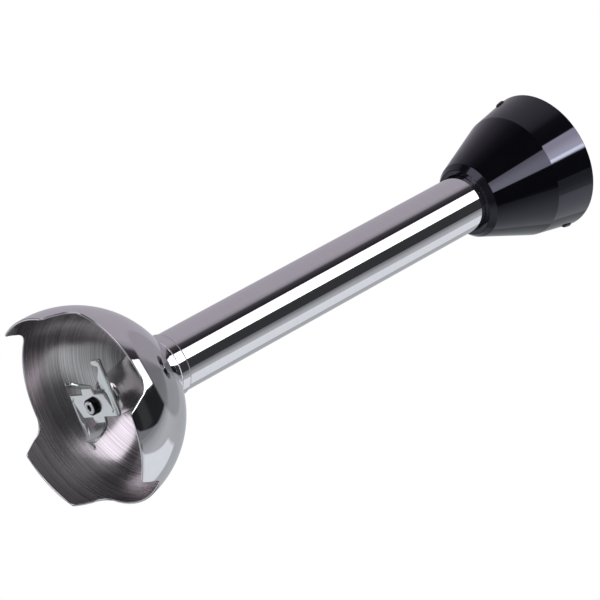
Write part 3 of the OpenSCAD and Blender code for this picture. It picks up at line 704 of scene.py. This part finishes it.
# ---------------------------------------------------------------- stage, light and camera
def floor():
    """Pale round floor that only shows from above, so the foot can also be seen from under its mouth."""
    reach = 1.5
    fade_from = 0.3
    fade_to = 1.3
    mesh = bpy.data.meshes.new("floor")
    mesh.from_pydata([(-reach, -reach, 0), (reach, -reach, 0), (reach, reach, 0), (-reach, reach, 0)], [],
                     [(0, 1, 2, 3)])
    ground = bpy.data.objects.new("floor", mesh)
    bpy.context.scene.collection.objects.link(ground)
    material, tree, shader, place = new_material("matt_white_floor", Roughness=0.9,
                                                 Base_Color=linear("#fdfcfa"))
    below = add(tree, "NewGeometry", output="Backfacing")
    above = add(tree, "Math", [1.0, below], operation="SUBTRACT")
    away = add(tree, "VectorMath", [place], "Value", operation="LENGTH")
    fade = add(tree, "MapRange", [away, fade_from, fade_to, 1.0, 0.0], interpolation_type="SMOOTHSTEP")
    to_eye = add(tree, "LightPath", output="Is Camera Ray")
    seen = add(tree, "Math", [to_eye, above], operation="MULTIPLY")
    seen = add(tree, "Math", [seen, fade], operation="MULTIPLY")
    mix = add(tree, "MixShader", [seen, add(tree, "BsdfTransparent"), shader.outputs[0]])
    tree.links.new(mix, tree.nodes["Material Output"].inputs["Surface"])
    mesh.materials.append(material)


# The light tent's walls: brightness by compass direction, in degrees from -Y towards +X, in five tiers
TIERS = {
    "under": [(-180, 0.80), (-174, 0.80), (-168, 0.06), (-115, 0.08), (-95, 0.20), (-75, 0.35),
              (-50, 0.36), (-30, 0.42), (0, 0.60), (45, 0.60), (62, 0.62), (85, 0.42), (110, 0.36),
              (130, 0.18), (150, 0.08), (156, 0.05), (162, 0.80), (180, 0.80)],
    "low": [(-180, 0.80), (-170, 0.80), (-163, 0.04), (-132, 0.06), (-117, 0.42), (-110, 0.36),
            (-100, 0.07), (-88, 0.07), (-76, 0.28), (-50, 0.45), (-40, 0.40), (-30, 0.08), (-18, 0.02),
            (24, 0.015), (40, 0.03), (51, 0.40), (62, 0.70), (82, 0.70), (98, 0.50), (112, 0.30),
            (135, 0.16), (158, 0.08), (164, 0.80), (180, 0.80)],
    "level": [(-180, 0.60), (-150, 0.50), (-120, 0.44), (-96, 0.28), (-78, 0.10), (-60, 0.02), (18, 0.015),
              (46, 0.015), (58, 0.12), (80, 0.40), (100, 0.48), (130, 0.50), (180, 0.60)],
    "raised": [(-180, 0.60), (-160, 0.54), (-66, 0.53), (-54, 0.42), (-45, 0.08), (-36, 0.05), (-29, 0.03),
               (17, 0.03), (25, 0.022), (56, 0.024), (59, 0.34), (66, 0.52), (78, 0.66), (130, 0.58),
               (160, 0.56), (180, 0.60)],
    "top": [(-180, 0.45), (-40, 0.46), (-24, 0.30), (-8, 0.25), (30, 0.26), (62, 0.30), (74, 0.44),
            (180, 0.45)],
}
# Heights in degrees between which each tier takes over from the one under it
SEAMS = [("low", -53.0, -25.0), ("level", -12.0, -2.0), ("raised", 15.5, 26.5), ("top", 63.5, 67.0)]
# Soft boxes: first and last side as (compass direction, its lean with height), the heights at which the
# lower and the upper edge are (dark, lit), the brightness, and how softly the sides fade, in degrees
SOFT_BOXES = {
    # Front box and its brighter lower part: the long highlights of tube, neck and cone
    "front": ((-13.6, 0.26), (14.0, 0.0), (-8.0, -2.0), (65.0, 62.0), 2.4, 1.0),
    "front_lower": ((-13.6, 0.26), (14.0, 0.0), (3.0, 9.0), (33.0, 26.0), 3.3, 1.0),
    # A lamp behind the front box's cloth, which makes it brighter there
    "front_lamp": ((7.4, 0.0), (12.2, 0.0), (8.0, 13.0), (30.0, 25.0), 1.4, 0.8),
    # Right-hand box and its edge: the pale bands on the right of the cone and the bell
    "side": ((50.0, -0.85), (123.0, 0.0), (-10.0, 20.0), (54.0, 51.0), 0.46, 1.5),
    "side_edge": ((33.5, -0.5), (58.0, 0.0), (12.0, 18.0), (62.0, 58.0), 0.24, 1.0),
    # Low box on the left: the bright patch inside the bell
    "low": ((-65.0, -0.65), (-19.0, -0.65), (-68.0, -62.0), (-1.0, -7.0), 1.5, 3.0),
    # Faint panel: keeps the tube's dark band from going quite black
    "fill": ((17.0, 0.0), (50.0, 0.0), (28.0, 33.0), (46.0, 40.0), 0.03, 3.0),
}
# The front box grows brighter to the right: between which compass directions, and from and to what factor
FRONT_GLOW = (-12.0, 5.0, 1.0, 1.5)
# The tent is a little violet on the left and a little blue on the right, and turns over this span of X
LEFT_TINT = "#f4effb"
RIGHT_TINT = "#edf3f8"
TINT_SPAN = (-0.35, 0.25)


def world():
    """Light tent drawn on the world: pale walls with dark gaps, and soft boxes; plain white to the eye."""
    scene_world = bpy.data.worlds.new("light_tent")
    bpy.context.scene.world = scene_world
    scene_world.use_nodes = True
    tree = scene_world.node_tree
    tree.nodes.clear()
    x, y, z = add(tree, "SeparateXYZ", [add(tree, "TexCoord", output="Generated")]).node.outputs
    front = add(tree, "Math", [0.0, y], operation="SUBTRACT")
    bearing = add(tree, "Math", [x, front], operation="ARCTAN2")
    compass = add(tree, "Math", [bearing], operation="DEGREES")
    rise = add(tree, "Math", [z], operation="ARCSINE")
    climb = add(tree, "Math", [rise], operation="DEGREES")

    def wall(tier):
        """Brightness of one tier by compass direction."""
        share = add(tree, "MapRange", [compass, -180.0, 180.0])
        ramp = add(tree, "ValToRGB", [share])
        marks = ramp.node.color_ramp.elements
        while len(marks) < len(TIERS[tier]):
            marks.new(0.5)
        for mark, (direction, brightness) in zip(marks, TIERS[tier]):
            mark.position = (direction + 180) / 360
            mark.color = (brightness,) * 3 + (1.0,)
        return ramp

    def soft_box(name):
        """Brightness of one soft box: each of its four edges multiplies it by 0 outside and 1 inside."""
        first, last, lower, upper, lit, softness = SOFT_BOXES[name]
        for (direction, lean), fade in ((first, softness), (last, -softness)):
            leaned = add(tree, "Math", [climb, lean, compass], operation="MULTIPLY_ADD")
            inside = add(tree, "MapRange", [leaned, direction - fade, direction + fade],
                         interpolation_type="SMOOTHSTEP")
            lit = add(tree, "Math", [lit, inside], operation="MULTIPLY")
        for dark_at, lit_at in (lower, upper):
            inside = add(tree, "MapRange", [climb, dark_at, lit_at], interpolation_type="SMOOTHSTEP")
            lit = add(tree, "Math", [lit, inside], operation="MULTIPLY")
        return lit

    total = wall("under")
    for tier, low, high in SEAMS:
        share = add(tree, "MapRange", [climb, low, high], interpolation_type="SMOOTHSTEP")
        total = add(tree, "Mix", {0: share, 2: total, 3: wall(tier)}, data_type="FLOAT")
    front_box = add(tree, "Math", [soft_box("front"), soft_box("front_lower")])
    glow = add(tree, "MapRange", [compass, *FRONT_GLOW], interpolation_type="SMOOTHSTEP")
    glow = add(tree, "Math", [glow, soft_box("front_lamp")])
    total = add(tree, "Math", [front_box, glow, total], operation="MULTIPLY_ADD")
    for name in ("side", "side_edge", "low", "fill"):
        total = add(tree, "Math", [total, soft_box(name)])
    share = add(tree, "MapRange", [x, *TINT_SPAN], interpolation_type="SMOOTHSTEP")
    tint = add(tree, "Mix", {0: share, 6: linear(LEFT_TINT), 7: linear(RIGHT_TINT)}, 2, data_type="RGBA")
    tent = add(tree, "Background", {"Color": tint, "Strength": total})
    white = add(tree, "Background", {"Color": (1.0, 1.0, 1.0, 1.0), "Strength": 1.0})
    rays = add(tree, "LightPath").node.outputs
    to_eye = add(tree, "Math", [rays["Is Camera Ray"], rays["Is Transmission Ray"]], operation="MAXIMUM")
    add(tree, "OutputWorld", {"Surface": add(tree, "MixShader", [to_eye, tent, white])})


def camera():
    """Long lens that looks up into the bell's mouth from below and in front."""
    lens = bpy.data.cameras.new("camera")
    lens.lens = 182.5
    lens.sensor_width = 36
    lens.clip_start = 0.05
    lens.clip_end = 20
    place = Vector((2.25, -844.4, -506.9)) * MM
    ahead = Vector((0.0, 0.8103, 0.5859)).normalized()
    top = Vector((-0.8760, -0.2826, 0.3909))
    right = ahead.cross(top).normalized()
    top = right.cross(ahead)
    turn = Matrix((right, top, -ahead)).transposed()
    eye = bpy.data.objects.new("camera", lens)
    eye.matrix_world = Matrix.Translation(place) @ turn.to_4x4()
    bpy.context.scene.collection.objects.link(eye)
    bpy.context.scene.camera = eye


bell()
tube()
collar()
cone()
housing()
shaft()
blade_ring()
softened("blade_sheet", "blade", "rotor", BLADE, width=0.12 * MM, crease=math.radians(10))
softened("hub_body", "blade_hub", "rotor", GROUND, width=0.15 * MM)
softened("socket_cup", "coupling_socket", "foot", SATIN_BLACK, width=0.2 * MM)
softened("drive_dog", "drive_coupling", "rotor", DOG_NYLON, width=0.2 * MM)
softened("cup_screws", "socket_screws", "foot", SPRING, width=0.1 * MM)
floor()
world()
camera()
bpy.context.scene.view_settings.view_transform = "Standard"

bpy.context.view_layer.update()
